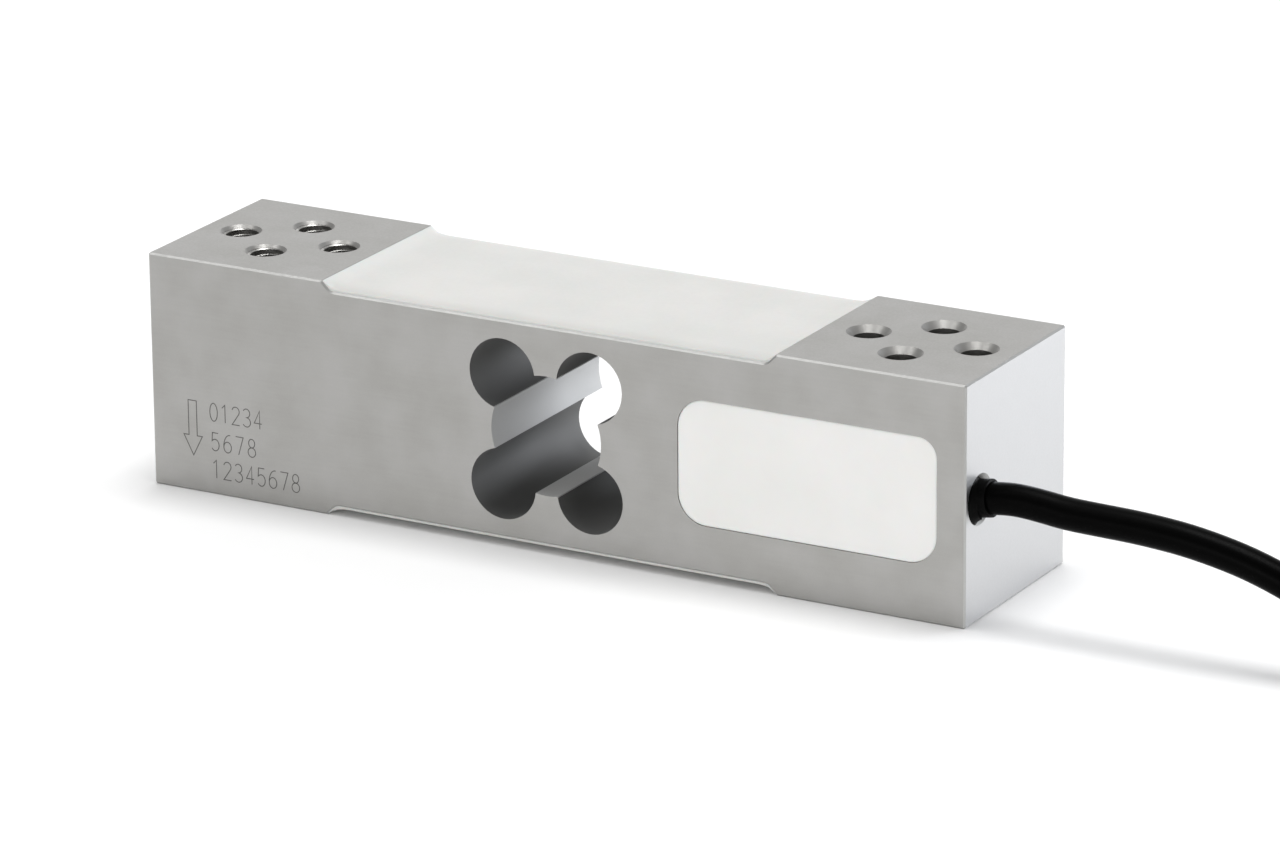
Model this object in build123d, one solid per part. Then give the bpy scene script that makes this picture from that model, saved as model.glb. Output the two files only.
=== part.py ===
from build123d import *
import math
import os

# Single point load cell: a parallel-beam aluminium spring element with strain gauges on the
# four webs of its clover bore, a wiring pocket potted in white silicone and a fixed cable.
# Millimetres. The origin is at the bottom centre of the block, +X runs along the block
# towards the cable end, and the side with the wiring pocket looks towards -Y.

# Spring element
block_length = 150.0
block_width = 35.0
block_height = 40.0
edge_break = 0.3
land_length = 33.3  # from each end face to the recess between them, on the top and the underside
recess_depth = 1.7
recess_run = 1.7  # how far each end of a recess slopes
recess_fillet = 2.0
web_thickness = 3.03  # between a corner bore and the recess floor, where the gauges sit
corner_bore_radius = 6.0
corner_bore_spacing = 16.0  # along the block
centre_bore_radius = 10.1

# Bolt holes, a diamond of four at each end
bolt_inset = 16.5  # from the end face to the middle of the diamond
bolt_span_x = 19.0
bolt_span_y = 15.0
thread_radius = 3.0
thread_depth = 20.0
thread_mouth_radius = 3.5
plain_bore_radius = 2.6
plain_mouth_radius = 3.65

# Wiring pocket in the front side
pocket_end_wall = 5.0
pocket_length = 46.0
pocket_height = 21.0
pocket_depth = 6.0
pocket_corner = 5.0
pocket_tight_corner = 3.4  # the upper corner at the cable end
well_length = 7.0  # the deeper end of the pocket, which takes the cable's crimp
well_height = 11.0
well_depth = 9.3
well_corner = 2.0
channel_radius = 1.5  # drilled from each recess into the pocket
channel_from_board_end = 3.5

# Cable entry
entry_from_front = 5.0
entry_radius = 3.25
entry_mouth_radius = 4.2
cable_diameter = 5.2
jacket_into_well = 5.0
sleeve_wall = 0.45
sleeve_out = 2.25
sleeve_rise = 0.55  # the cable tips the sleeve up where it leaves the bore
sleeve_bend_inside = 1.8
sealant_inset = 0.3
sealant_lip = 0.5
crimp_wall = 1.2
crimp_length = 4.0

# Terminal board
board_length = 29.0
board_height = 16.0
board_thickness = 1.0
board_from_well = 4.5
copper = 0.05
solder_gap = 0.06  # under a soldered end
lead_diameter = 0.4
lead_pitch = 1.0
lead_pad = (0.7, 2.2)
lead_bend = 1.0
lead_from_channel_axis = 0.3
core_diameter = 0.9
conductor_diameter = 0.5
drain_diameter = 0.6
core_row = (-1.75, -0.8, 0.0, 0.8, 1.75)  # side by side where they leave the jacket
core_names = ("red", "black", "screen", "green", "white")
core_pitch = 2.2
core_pad = (2.4, 1.3)
pad_inset = 0.3  # from the edge of the board
core_stripped = 2.6
core_lead_out = 1.1
lead_bead_radius = 0.42
core_bead_radius = 0.6
bead_length = 1.2
bead_inset = 0.3

# Strain gauges and their wiring
carrier_length = 9.0
carrier_width = 6.0
carrier_thickness = 0.1
foil = 0.05
strand_count = 8
strand_pitch = 0.4
strand_width = 0.22
strand_length = 4.8
tab_length = 1.3
tab_width = 1.1
strip_length = 4.0
strip_width = 3.0
strip_from_front = 10.5
ribbon_width = 0.4
ribbon_thickness = 0.06
ribbon_lane = 0.8  # from one ribbon to the next beside a gauge

# White silicone
coat_thickness = 0.8
coat_edge = 0.3
coat_edge_run = 2.6
coat_ramp = 3.7
coat_ramp_fillet = 6.0
potting_recess = 0.06

# Free cable: it runs to a tied hank, a long flat loop, and its end lies inside the loop
floor_gap = 0.05
tie_thickness = 1.0
tie_width = 4.0
tie_gap = 0.25
tie_head = (5.0, 5.6, 2.0)
turn_pitch = 5.3
turns_across = 2
turns_up = 5
fold_radius = 18.25  # to the middle of the turns
hank_straight = 96.0  # from one fold's centre to the other's
stub_in = 17.0  # from the end of the run to the first fold's centre
hank_chamfer = 1.6
tail_along = (4.0, 16.0, 28.0, 40.0, 52.0, 62.0)  # from the first fold's centre
tail_aside = (15.6, 15.0, 12.4, 8.6, 6.0, 5.0)  # from the line between the folds' centres
tail_height = (3.9, 3.85, 3.3, 2.8, 2.7, 2.7)
core_straight = 2.0  # where a stripped core leaves the jacket
core_reach = (15.3, 24.5, 34.0)  # from the end of the jacket
core_aside = (3.0, 1.5, 1.0)
core_spread = (2.05, 3.4, 3.7)  # from one core to the next
tinned_length = 6.0

# Flats round a wire and a cable, and along each fold of the hank, instead of true circles
thin_sides = 6
cable_sides = 12
fold_flats = 11

half_length = block_length / 2
half_width = block_width / 2
middle = block_height / 2
front = -half_width
recess_length = block_length - 2 * land_length
recess_floor = block_height - recess_depth
cable_radius = cable_diameter / 2
sleeve_radius = cable_radius + sleeve_wall
entry_y = front + entry_from_front
pocket_end = half_length - pocket_end_wall
pocket_floor = front + pocket_depth
well_start = pocket_end - well_length
jacket_end = pocket_end - jacket_into_well
board_end = well_start - board_from_well
board_front = pocket_floor - board_thickness
board_start = board_end - board_length
channel_x = board_start + channel_from_board_end
lead_y = board_front - copper - solder_gap - lead_diameter / 2
channel_y = lead_y - lead_from_channel_axis
core_y = board_front - copper - solder_gap - conductor_diameter / 2
gauge_x = corner_bore_spacing / 2
gauge_top = recess_floor + carrier_thickness + foil
strip_y = front + strip_from_front

# The cable's points, by their distance from the end of the sleeve and their height. The first
# lies on the sleeve, the second in line with it, and the last on the hank's lead-in.
hank_base = floor_gap + tie_thickness + tie_gap
turn_base = hank_base + cable_radius
cable_start = (half_length + sleeve_out, entry_y, middle + sleeve_rise)
sleeve_slope = sleeve_rise / (sleeve_out + sleeve_bend_inside)
cable_course = [
    (0.0, cable_start[2]),
    (2.65, cable_start[2] + 2.65 * sleeve_slope),
    (5.45, 20.9),
    (8.75, 20.6),
    (12.75, 20.1),
    (18.25, 19.95),
    (25.75, 19.8),
    (35.0, 19.0),
    (46.0, 16.6),
    (57.25, 11.9),
    (68.25, 7.1),
    (78.25, turn_base),
    (88.25, turn_base),
]
cable_route = [(cable_start[0] + x, entry_y, z) for x, z in cable_course]

# The hank: the cable meets its outer turn at the bottom, and the tail leaves its inner one.
bundle_half = ((turns_across - 1) * turn_pitch + cable_diameter) / 2
hank_start = cable_route[-1][0] + stub_in
hank_end = hank_start + hank_straight
hank_y = entry_y + fold_radius + (turns_across - 1) * turn_pitch / 2
hank_top = hank_base + (turns_up - 1) * turn_pitch + cable_diameter


def mirrored(solid):
    """The same piece on the underside of the block."""
    return mirror(solid, about=Plane.XY.offset(middle))


def block_at(low, high):
    """A box between two opposite corners."""
    size = [b - a for a, b in zip(low, high)]
    return Pos(*[(a + b) / 2 for a, b in zip(low, high)]) * Box(*size)


def rod_x(radius, x0, x1, y, z):
    """A round bar along the block."""
    return Pos((x0 + x1) / 2, y, z) * Rot(0, 90, 0) * Cylinder(radius, x1 - x0)


def bend_radii(points):
    """One radius for each corner: 0.45 of the shorter run over the tangent of half the turn."""
    corners = []
    for a, b, c in zip(points, points[1:], points[2:]):
        before, after = Vector(b) - Vector(a), Vector(c) - Vector(b)
        half_turn = math.radians(before.get_angle(after) / 2)
        corners.append(0.45 * min(before.length, after.length) / math.tan(half_turn))
    return corners


def wire(points, diameter, radii=(), sides=thin_sides):
    """A wire or cable along straight runs, with a mitre or, given radii, an arc at each corner.

    No sides means a true circle.
    """
    path = FilletPolyline(*points, radius=radii) if radii else Polyline(*points)
    outline = RegularPolygon(diameter / 2, sides) if sides else Circle(diameter / 2)
    section = Plane(origin=path @ 0, z_dir=path % 0) * outline
    return sweep(section, path=path, transition=Transition.RIGHT)


def recess_corners(fillet_radius, points):
    """A closed outline along the block, with both corners of the recess floor rounded."""
    outline = make_face(Polyline(*points, close=True))
    floor_corners = [v for v in outline.vertices() if abs(abs(v.Y - middle) - recess_floor + middle) < 1e-6]
    return fillet(floor_corners, fillet_radius)


def block_outline():
    """The side view of the block, with a shallow gauge recess above and below."""
    land = recess_length / 2
    floor_end = land - recess_run
    under = [(-half_length, 0), (-land, 0), (-floor_end, recess_depth)]
    under += [(-x, z) for x, z in reversed(under)]
    over = [(x, block_height - z) for x, z in reversed(under)]
    return recess_corners(recess_fillet, under + over)


def bolt_positions():
    """The four holes of a diamond, from its middle."""
    along, across = bolt_span_x / 2, bolt_span_y / 2
    return [(-along, 0), (along, 0), (0, -across), (0, across)]


def bolt_hole():
    """Cutter for one hole, tapped from the top and drilled on through to the underside."""
    step = thread_radius - plain_bore_radius
    tapped_end = block_height - thread_depth
    mouth = thread_mouth_radius - thread_radius
    plain_mouth = plain_mouth_radius - plain_bore_radius
    profile = [
        (0, block_height),
        (thread_mouth_radius, block_height),
        (thread_radius, block_height - mouth),
        (thread_radius, tapped_end),
        (plain_bore_radius, tapped_end - step),
        (plain_bore_radius, plain_mouth),
        (plain_mouth_radius, 0),
        (0, 0),
    ]
    return revolve(Plane.XZ * make_face(Polyline(*profile, close=True)), Axis.Z)


def clover_bore():
    """The four corner bores and the larger bore that joins them."""
    corner_z = recess_floor - web_thickness - corner_bore_radius - middle
    bores = [Pos(0, 0, middle) * Rot(90, 0, 0) * Cylinder(centre_bore_radius, block_width)]
    for x in (-corner_bore_spacing / 2, corner_bore_spacing / 2):
        for z in (-corner_z, corner_z):
            bores.append(Pos(x, 0, middle + z) * Rot(90, 0, 0) * Cylinder(corner_bore_radius, block_width))
    return bores


def pocket_space(depth):
    """The wiring pocket, from the front side down to a depth."""
    side = Plane(origin=(0, front, 0), x_dir=(1, 0, 0), z_dir=(0, -1, 0))
    outline = Pos(pocket_end - pocket_length / 2, middle) * Rectangle(pocket_length, pocket_height)
    by_corner = outline.vertices().sort_by(lambda v: v.X + v.Y)
    outline = fillet(by_corner[-1], pocket_tight_corner)
    others = [v for v in outline.vertices() if v.X < pocket_end - pocket_length / 2 or v.Y < middle]
    square = [v for v in others if abs(v.Y - middle) > pocket_height / 2 - 1e-6]
    square = [v for v in square if min(abs(v.X - pocket_end), abs(v.X - pocket_end + pocket_length)) < 1e-6]
    return extrude(side * fillet(square, pocket_corner), amount=-depth)


def well_space():
    """The deeper end of the pocket, around the end of the cable."""
    low = (well_start, front, middle - well_height / 2)
    well = block_at(low, (pocket_end, front + well_depth, middle + well_height / 2))
    return fillet(well.edges().filter_by(Axis.Y).sort_by(Axis.X)[:2], well_corner)


def entry_space():
    """The cable's bore through the end wall, with its chamfered mouth."""
    mouth = entry_mouth_radius - entry_radius
    cone = Cone(entry_radius, entry_mouth_radius, mouth)
    return [
        rod_x(entry_radius, pocket_end - well_length / 2, half_length, entry_y, middle),
        Pos(half_length - mouth / 2, entry_y, middle) * Rot(0, 90, 0) * cone,
    ]


def channel_space():
    """The drilling that brings the upper gauge leads into the pocket."""
    low = middle + pocket_height / 2 - 1
    return Pos(channel_x, channel_y, (low + block_height) / 2) * Cylinder(channel_radius, block_height - low)


def spring_element():
    """The machined block."""
    blank = extrude(Plane.XZ * block_outline(), amount=half_width, both=True)
    across = [e for e in blank.edges() if abs((e % 0.5).Y) > 0.99]
    inner = [e for e in across if abs(e.center().X) < half_length - edge_break]
    blank = chamfer([e for e in blank.edges() if e not in inner], edge_break)
    tapped_above = [Pos(bolt_inset - half_length + x, y, 0) * bolt_hole() for x, y in bolt_positions()]
    tapped_below = [mirrored(Pos(half_length - bolt_inset + x, y, 0) * bolt_hole()) for x, y in bolt_positions()]
    cuts = clover_bore() + tapped_above + tapped_below + entry_space()
    cuts += [pocket_space(pocket_depth), well_space(), channel_space(), mirrored(channel_space())]
    return blank - cuts


def gauge_carrier(x):
    """The polyimide film of one gauge, over the thin part of its web."""
    low = (x - carrier_length / 2, -carrier_width / 2, recess_floor)
    return block_at(low, (x + carrier_length / 2, carrier_width / 2, recess_floor + carrier_thickness))


def gauge_grid(x):
    """The etched foil: strands joined in pairs at their ends, and two solder tabs."""
    low, high = recess_floor + carrier_thickness, gauge_top
    start = x - carrier_length / 2 + 0.6
    end = start + strand_length
    half_span = (strand_count - 1) * strand_pitch / 2
    rows = [i * strand_pitch - half_span for i in range(strand_count)]
    half = strand_width / 2
    pieces = [block_at((start, y - half, low), (end, y + half, high)) for y in rows]
    for i, (a, b) in enumerate(zip(rows, rows[1:])):
        loop = start if i % 2 == 0 else end - strand_width
        pieces.append(block_at((loop, a - half, low), (loop + strand_width, b + half, high)))
    for side in (-1, 1):
        edge = side * (half_span + half)
        inner = edge - side * tab_width
        low_y, high_y = min(edge, inner), max(edge, inner)
        pieces.append(block_at((end, low_y, low), (end + tab_length, high_y, high)))
    return pieces[0].fuse(*pieces[1:]).clean()


def gauge_tab(x, side):
    """The middle of a solder tab."""
    half_span = (strand_count - 1) * strand_pitch / 2 + strand_width / 2
    end = x - carrier_length / 2 + 0.6 + strand_length
    return end + tab_length / 2, side * (half_span - tab_width / 2)


def terminal_strip():
    """The strip between the gauges and the leads, with a copper pad for each lead."""
    base_top = recess_floor + carrier_thickness
    low = (channel_x - strip_length / 2, strip_y - strip_width / 2, recess_floor)
    strip = block_at(low, (channel_x + strip_length / 2, strip_y + strip_width / 2, base_top))
    pads = []
    for i in (-1, 0, 1):
        x = channel_x + i * lead_pitch
        near = (x - lead_pad[0] / 2, strip_y - strip_width / 2 + 0.2, base_top)
        pads.append(block_at(near, (x + lead_pad[0] / 2, strip_y + strip_width / 2 - 0.2, gauge_top)))
    return strip.fuse(*pads)


def ribbon(points):
    """A flat tinned jumper along straight runs that meet at right angles."""
    half = ribbon_width / 2
    runs = []
    for (x0, y0), (x1, y1) in zip(points, points[1:]):
        low = (min(x0, x1) - half, min(y0, y1) - half, gauge_top)
        runs.append(block_at(low, (max(x0, x1) + half, max(y0, y1) + half, gauge_top + ribbon_thickness)))
    return runs[0].fuse(*runs[1:]).clean()


def gauge_jumpers():
    """Three jumpers: the ends of the half bridge, and its middle, which joins both gauges."""
    pad_y = strip_y + strip_width / 2 - 0.7
    lane = -carrier_width / 2 - ribbon_lane
    load_low, load_high = gauge_tab(-gauge_x, -1), gauge_tab(-gauge_x, 1)
    base_low, base_high = gauge_tab(gauge_x, -1), gauge_tab(gauge_x, 1)
    turn = load_low[0] + 2 * ribbon_lane
    first, second, third = (channel_x + i * lead_pitch for i in (-1, 0, 1))
    outer = lane - ribbon_lane
    start = [load_low, (turn, load_low[1]), (turn, outer), (first, outer), (first, pad_y)]
    high = [load_high, (turn + ribbon_lane, load_high[1]), (turn + ribbon_lane, lane)]
    join = ribbon([base_low, (base_low[0] + 2 * ribbon_lane, base_low[1]), (base_low[0] + 2 * ribbon_lane, lane)])
    shared = ribbon(high + [(second, lane), (second, pad_y)]).fuse(join).clean()
    return [ribbon(start), shared, ribbon([base_high, (third, base_high[1]), (third, pad_y)])]


def lead_path(i):
    """From a pad of the strip over the recess floor, down the channel and onto the board."""
    x = channel_x + i * lead_pitch
    z = gauge_top + solder_gap + lead_diameter / 2
    pad_low = middle + board_height / 2 - pad_inset - lead_pad[1]
    return [
        (x, strip_y - pad_inset, z),
        (x, lead_y + lead_bend, z),
        (x, lead_y, z - lead_bend),
        (x, lead_y, pad_low + bead_inset),
    ]


def lead(i):
    """One insulated lead."""
    return wire(lead_path(i), lead_diameter)


def terminal_board():
    """The printed board, bonded to the pocket floor."""
    low = (board_start, board_front, middle - board_height / 2)
    return block_at(low, (board_end, pocket_floor, middle + board_height / 2))


def lead_pads():
    """Copper pads at the board's upper edge."""
    top = middle + board_height / 2 - pad_inset
    half = lead_pad[0] / 2
    pads = []
    for i in (-1, 0, 1):
        x = channel_x + i * lead_pitch
        pads.append(block_at((x - half, board_front - copper, top - lead_pad[1]), (x + half, board_front, top)))
    return pads


def core_height(i):
    """The height of a core's pad."""
    return middle + (i - 2) * core_pitch


def core_pads():
    """Copper pads at the cable end of the board."""
    x = board_end - pad_inset
    half = core_pad[1] / 2
    pads = []
    for i in range(len(core_row)):
        low = (x - core_pad[0], board_front - copper, core_height(i) - half)
        pads.append(block_at(low, (x, board_front, core_height(i) + half)))
    return pads


def chip(x, z, length, width, height):
    """A resistor with its two end caps, standing on the copper of the board."""
    back = board_front - copper
    cap = 0.2 * length
    half, edge = length / 2, width / 2
    body = block_at((x - half, back - height, z - edge), (x + half, back - 0.05, z + edge))
    caps = []
    for side in (-1, 1):
        a, b = sorted((x + side * half, x + side * (half - cap)))
        caps.append(block_at((a, back - height - 0.04, z - edge - 0.04), (b, back, z + edge + 0.04)))
    return body.fuse(*caps)


def chip_pads(x, z, length, width):
    """The two copper pads under a resistor."""
    edge = width / 2 + 0.2
    pads = []
    for side in (-1, 1):
        a, b = sorted((x + side * (length / 2 + 0.4), x + side * (length / 2 - 0.35 * length)))
        pads.append(block_at((a, board_front - copper, z - edge), (b, board_front, z + edge)))
    return pads


# Each resistor's place from the start of the board and from mid height, and its size.
chips = {
    "zero_balance_resistor": [(9.5, 4.0, 2.0, 1.25, 0.5)],
    "zero_temperature_resistor": [(9.5, -4.0, 2.0, 1.25, 0.5)],
    "span_temperature_resistors": [(16.5, 4.6, 4.0, 2.4, 0.4), (16.5, -4.6, 4.0, 2.4, 0.4)],
    "input_trim_resistor": [(16.5, 0.0, 2.0, 1.25, 0.5)],
}


def board_copper():
    """All the pads of the board."""
    pads = lead_pads() + [mirrored(p) for p in lead_pads()] + core_pads()
    for group in chips.values():
        for x, z, length, width, _ in group:
            pads += chip_pads(board_start + x, middle + z, length, width)
    return pads


def solder_beads():
    """A half-round bead over each soldered end."""
    back = board_front - copper
    over_copper = block_at((board_start, back - 1, 0), (board_end, back, block_height))
    beads = []
    for i in (-1, 0, 1):
        x, _, z = lead_path(i)[-1]
        ends = [(x, back, z + bead_inset), (x, back, z + bead_inset + bead_length)]
        bead = (wire(ends, 2 * lead_bead_radius) & over_copper) - lead(i)
        beads += [bead, mirrored(bead)]
    for i in range(len(core_row)):
        x, z = board_end - pad_inset - core_pad[0] / 2, core_height(i)
        ends = [(x - bead_length / 2, back, z), (x + bead_length / 2, back, z)]
        beads.append((wire(ends, 2 * core_bead_radius) & over_copper) - cable_core(i))
    return beads


def cable_core(i):
    """One conductor from the end of the jacket to its pad, stripped at the pad."""
    bare = board_end + bead_inset
    start_z, end_z = middle + core_row[i], core_height(i)
    drain = core_row[i] == 0
    diameter = drain_diameter if drain else core_diameter
    start, end = (jacket_end, core_y, start_z), (bare, core_y, end_z)
    bends = [(jacket_end - core_lead_out, core_y, start_z), (bare + core_lead_out, core_y, end_z)]
    stripped = wire([end, (bare - core_stripped, core_y, end_z)], conductor_diameter)
    return wire([start, end] if drain else [start, *bends, end], diameter).fuse(stripped)


def cable_jacket_end():
    """The jacketed cable through the entry, up to the end of the sleeve."""
    return wire(entry_path(jacket_end), cable_diameter, sides=0)


def entry_path(start_x):
    """Along the bore, then tipped up with the sleeve."""
    bend_x = half_length - sleeve_bend_inside
    return [(start_x, entry_y, middle), (bend_x, entry_y, middle), cable_start]


def cable_sleeve():
    """The shrink sleeve in the bore and just past it."""
    path = entry_path(pocket_end)
    return wire(path, 2 * sleeve_radius, sides=0) - wire(path, cable_diameter, sides=0)


def cable_crimp():
    """The hexagonal crimp that takes the pull on the cable, seated on the end wall of the well."""
    start, end = (pocket_end - crimp_length, entry_y, middle), (pocket_end, entry_y, middle)
    across_corners = 2 * (cable_radius + crimp_wall)
    return wire([start, end], across_corners, sides=6) - wire([start, end], cable_diameter, sides=0)


def entry_sealant():
    """The black seal round the sleeve, dished where it fills part of the chamfer."""
    start = pocket_end + sealant_inset
    chamfer_start = half_length - (entry_mouth_radius - entry_radius)
    profile = [
        (start, 0),
        (start, entry_radius),
        (chamfer_start, entry_radius),
        (chamfer_start + sealant_lip, entry_radius + sealant_lip),
        (chamfer_start + sealant_lip / 2, 0),
    ]
    plug = Pos(0, entry_y, middle) * revolve(make_face(Polyline(*profile, close=True)), Axis.X)
    return plug - wire(entry_path(pocket_end), 2 * sleeve_radius, sides=0)


def coat():
    """The silicone over the upper gauges: it fills the recess floor and thins out on its slopes."""
    land = recess_length / 2
    floor_end = land - recess_run
    top = recess_floor + coat_thickness
    points = [(-land, block_height), (-floor_end, recess_floor), (floor_end, recess_floor), (land, block_height)]
    points += [(land - coat_ramp, top), (coat_ramp - land, top)]
    outline = recess_corners(recess_fillet, points)
    tops = [v for v in outline.vertices() if abs(v.Y - top) < 1e-6]
    long_strip = extrude(Plane.XZ * fillet(tops, coat_ramp_fillet), amount=half_width, both=True)
    edge = half_width - edge_break
    low, soft = recess_floor, edge - coat_edge_run
    bevel = [(edge, low + coat_edge), (edge - 0.25 * coat_edge_run, low + 0.9 * coat_thickness), (soft, block_height)]
    arc_a = ThreePointArc(*bevel)
    arc_b = ThreePointArc(*[(-y, z) for y, z in reversed(bevel)])
    sides = Line((-edge, low + coat_edge), (-edge, low)) + Line((-edge, low), (edge, low))
    sides += Line((edge, low), (edge, low + coat_edge))
    loaf = make_face(sides + arc_a + Line((soft, block_height), (-soft, block_height)) + arc_b)
    return long_strip & extrude(Plane.YZ * loaf, amount=half_length, both=True)


def potting():
    """The silicone that fills the pocket and the well."""
    proud = block_at((0, front - 1, 0), (half_length, front + potting_recess, block_height))
    return pocket_space(pocket_depth) + well_space() - proud


def hank_outline(radius):
    """A loop with two straight sides, and flats along its folds."""
    turns = [math.pi * (i / fold_flats - 0.5) for i in range(fold_flats + 1)]
    far = [(hank_end + radius * math.cos(t), hank_y + radius * math.sin(t)) for t in turns]
    near = [(hank_start - radius * math.cos(t), hank_y - radius * math.sin(t)) for t in turns]
    return make_face(Polyline(*far, *near, close=True))


def cable_hank():
    """The put-away length as one solid, with its lead-in, and a groove where the tail leaves it."""
    loop = hank_outline(fold_radius + bundle_half) - hank_outline(fold_radius - bundle_half)
    bundle = extrude(Pos(0, 0, hank_base) * loop, amount=hank_top - hank_base)
    bundle = chamfer(bundle.faces().filter_by(Axis.Z).edges(), hank_chamfer)
    lead_in = wire([cable_route[-1], (hank_start, entry_y, turn_base)], cable_diameter, sides=cable_sides)
    return bundle.fuse(lead_in) - cable_tail()


def tail_points():
    """The end of the cable, which leaves the lowest inner turn and comes down inside the loop."""
    places = zip(tail_along, tail_aside, tail_height)
    return [(hank_start + x, hank_y - y, z) for x, y, z in places]


def cable_tail():
    """The jacketed end of the cable."""
    points = tail_points()
    return wire(points, cable_diameter, bend_radii(points), cable_sides)


def tail_core_points(i):
    """A stripped core, which comes down to the floor and fans out from its neighbours."""
    before, last = [Vector(*p) for p in tail_points()[-2:]]
    along = (last - before).normalized()
    start = last + Vector(along.Y, -along.X, 0) * core_row[i]
    diameter = drain_diameter if core_row[i] == 0 else core_diameter
    rest = floor_gap + diameter / 2
    lane = i - len(core_row) // 2
    places = zip(core_reach, core_aside, core_spread)
    fan = [(last.X + x, hank_y - y - lane * spread, rest) for x, y, spread in places]
    return [tuple(start), tuple(start + along * core_straight), *fan]


def tail_core(i):
    """One stripped core."""
    return wire(tail_core_points(i), drain_diameter if core_row[i] == 0 else core_diameter)


def tinned_ends():
    """The tinned tips of the cores."""
    tips = []
    for i in range(len(core_row)):
        before, last = [Vector(*p) for p in tail_core_points(i)[-2:]]
        along = (last - before).normalized()
        tips.append(wire([tuple(last), tuple(last + along * tinned_length)], conductor_diameter))
    return tips


def bundle_section(grow):
    """The outline of the bundle of turns, across it, with a clearance."""
    height = hank_top - hank_base
    outline = Rectangle(2 * (bundle_half + grow), height + 2 * grow)
    outline = chamfer(outline.vertices(), hank_chamfer + grow * (2 - math.sqrt(2)))
    return Pos(0, hank_base + height / 2) * outline


def hank_tie(x):
    """A strap round the bundle at the middle of a fold, with its locking head on the top."""
    strap = bundle_section(tie_gap + tie_thickness) - bundle_section(tie_gap)
    strap = extrude(Plane.XZ * strap, amount=tie_width / 2, both=True)
    head = Pos(0, 0, hank_top + tie_gap + tie_thickness + tie_head[2] / 2) * Box(*tie_head)
    return Pos(x, hank_y, 0) * strap.fuse(head)


def write(name, *solids):
    """One STEP file for each node."""
    shape = solids[0] if len(solids) == 1 else Compound(children=list(solids))
    export_step(shape, f"parts/{name}.step")


def main():
    os.makedirs("parts", exist_ok=True)
    write("spring_element", spring_element())

    gauges = {"load": -gauge_x, "fixed": gauge_x}
    on_recess = {"terminal_strip": [terminal_strip()], "gauge_jumpers": gauge_jumpers()}
    for end, x in gauges.items():
        on_recess[f"{end}_gauge_carrier"] = [gauge_carrier(x)]
        on_recess[f"{end}_gauge_grid"] = [gauge_grid(x)]
    leads = [lead(i) for i in (-1, 0, 1)]
    covered = [piece for group in on_recess.values() for piece in group] + leads
    on_recess["coat"] = [coat() - covered]
    on_recess["bridge_leads"] = leads
    for name, group in on_recess.items():
        write(f"top_{name}", *group)
        write(f"bottom_{name}", *[mirrored(piece) for piece in group])

    in_pocket = {"terminal_board": [terminal_board()], "board_copper": board_copper(), "solder_beads": solder_beads()}
    for name, group in chips.items():
        in_pocket[name] = [chip(board_start + x, middle + z, *size) for x, z, *size in group]
    for i, name in enumerate(core_names):
        in_pocket[f"{name}_core"] = [cable_core(i)]
    in_pocket["cable_jacket_end"] = [cable_jacket_end()]
    in_pocket["cable_crimp"] = [cable_crimp()]
    held = [piece for group in in_pocket.values() for piece in group]
    for name, group in in_pocket.items():
        write(name, *group)
    write("pocket_potting", potting() - held - leads - [mirrored(piece) for piece in leads])
    write("cable_sleeve", cable_sleeve())
    write("entry_sealant", entry_sealant())

    print("bend radii of the cable", [round(r, 1) for r in bend_radii(cable_route)])
    print("bend radii of its tail", [round(r, 1) for r in bend_radii(tail_points())])
    cable = wire(cable_route, cable_diameter, bend_radii(cable_route), cable_sides)
    write("cable", cable)
    write("cable_hank", cable_hank())
    write("cable_tail", cable_tail())
    write("hank_tie_1", hank_tie(hank_start - fold_radius))
    write("hank_tie_2", hank_tie(hank_end + fold_radius))
    for i, name in enumerate(core_names):
        write(f"tail_{name}_core", tail_core(i))
    write("tail_tinned_ends", *tinned_ends())


main()
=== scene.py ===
import bpy
import numpy as np
from mathutils import Matrix, Vector


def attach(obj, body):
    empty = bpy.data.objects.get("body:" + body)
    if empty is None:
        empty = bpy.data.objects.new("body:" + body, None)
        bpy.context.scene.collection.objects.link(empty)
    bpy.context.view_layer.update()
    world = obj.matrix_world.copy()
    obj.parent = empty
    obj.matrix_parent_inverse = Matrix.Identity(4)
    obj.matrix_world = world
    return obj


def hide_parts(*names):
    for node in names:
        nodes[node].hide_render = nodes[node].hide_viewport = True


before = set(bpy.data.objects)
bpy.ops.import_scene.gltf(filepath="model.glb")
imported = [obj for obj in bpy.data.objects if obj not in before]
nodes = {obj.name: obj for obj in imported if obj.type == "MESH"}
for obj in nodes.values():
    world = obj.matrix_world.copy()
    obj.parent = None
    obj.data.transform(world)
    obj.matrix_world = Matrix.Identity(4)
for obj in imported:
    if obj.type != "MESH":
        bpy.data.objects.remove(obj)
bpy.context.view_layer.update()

mm = 0.001
print("frame loaded:", len(nodes), "nodes")


# Helpers

# sRGB hex to the linear colour that a shader takes
def linearRgb(hexColour):
    srgb = np.array([int(hexColour[i:i + 2], 16) for i in (1, 3, 5)]) / 255
    linear = np.where(srgb <= 0.04045, srgb / 12.92, ((srgb + 0.055) / 1.055) ** 2.4)
    return (*linear.tolist(), 1.0)


# adds one node: a socket takes a number, a colour or another node's output
def addNode(tree, kind, sockets=None, **settings):
    node = tree.nodes.new(kind)
    for name, value in settings.items():
        setattr(node, name, value)
    for name, value in (sockets or {}).items():
        if isinstance(value, bpy.types.NodeSocket):
            tree.links.new(value, node.inputs[name])
        else:
            node.inputs[name].default_value = value
    return node


# one sum on one or two values: it returns the result's socket
def mathNode(tree, operation, *values):
    return addNode(tree, "ShaderNodeMath", dict(enumerate(values)), operation=operation).outputs[0]


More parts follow.
